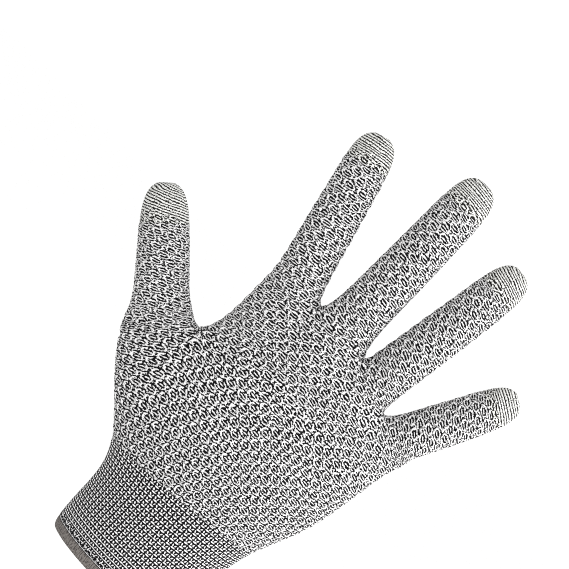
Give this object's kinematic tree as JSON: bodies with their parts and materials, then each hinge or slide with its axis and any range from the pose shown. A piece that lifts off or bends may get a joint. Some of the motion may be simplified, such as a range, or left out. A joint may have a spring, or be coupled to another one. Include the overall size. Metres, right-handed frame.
{
  "type": "fiberglass protective glove",
  "caption": "Seamless knitted safety glove for a right hand in its worn form, with honeycomb knit hand and fingers, plain knit finger ends, plain knit cuff and a bound hem.",
  "frame": {"origin": "centre of the cuff opening, where the hand goes in", "axes": "+Z from the opening along the hand to the middle finger, +X towards the little finger, -Y out of the back of the hand"},
  "size_m": [0.1784, 0.0444, 0.2271],
  "materials": {
    "honeycomb_knit": "honeycomb tuck knit of twisted white and charcoal glass and polyethylene yarn, matt",
    "fingertip_knit": "fine plain knit of the same yarn, rows across the finger, slightly warm",
    "cuff_knit": "elastic plain knit of the same yarn, matt",
    "hem_overlock": "taupe overlock thread bound tightly over the edge"
  },
  "bodies": {
    "root": {"palm": "honeycomb_knit", "wrist_cuff": "cuff_knit", "cuff_hem": "hem_overlock", "thumb": "honeycomb_knit", "index_finger": "honeycomb_knit", "middle_finger": "honeycomb_knit", "ring_finger": "honeycomb_knit", "little_finger": "honeycomb_knit", "thumb_tip": "fingertip_knit", "index_tip": "fingertip_knit", "middle_tip": "fingertip_knit", "ring_tip": "fingertip_knit", "little_tip": "fingertip_knit"}
  },
  "joints": []
}
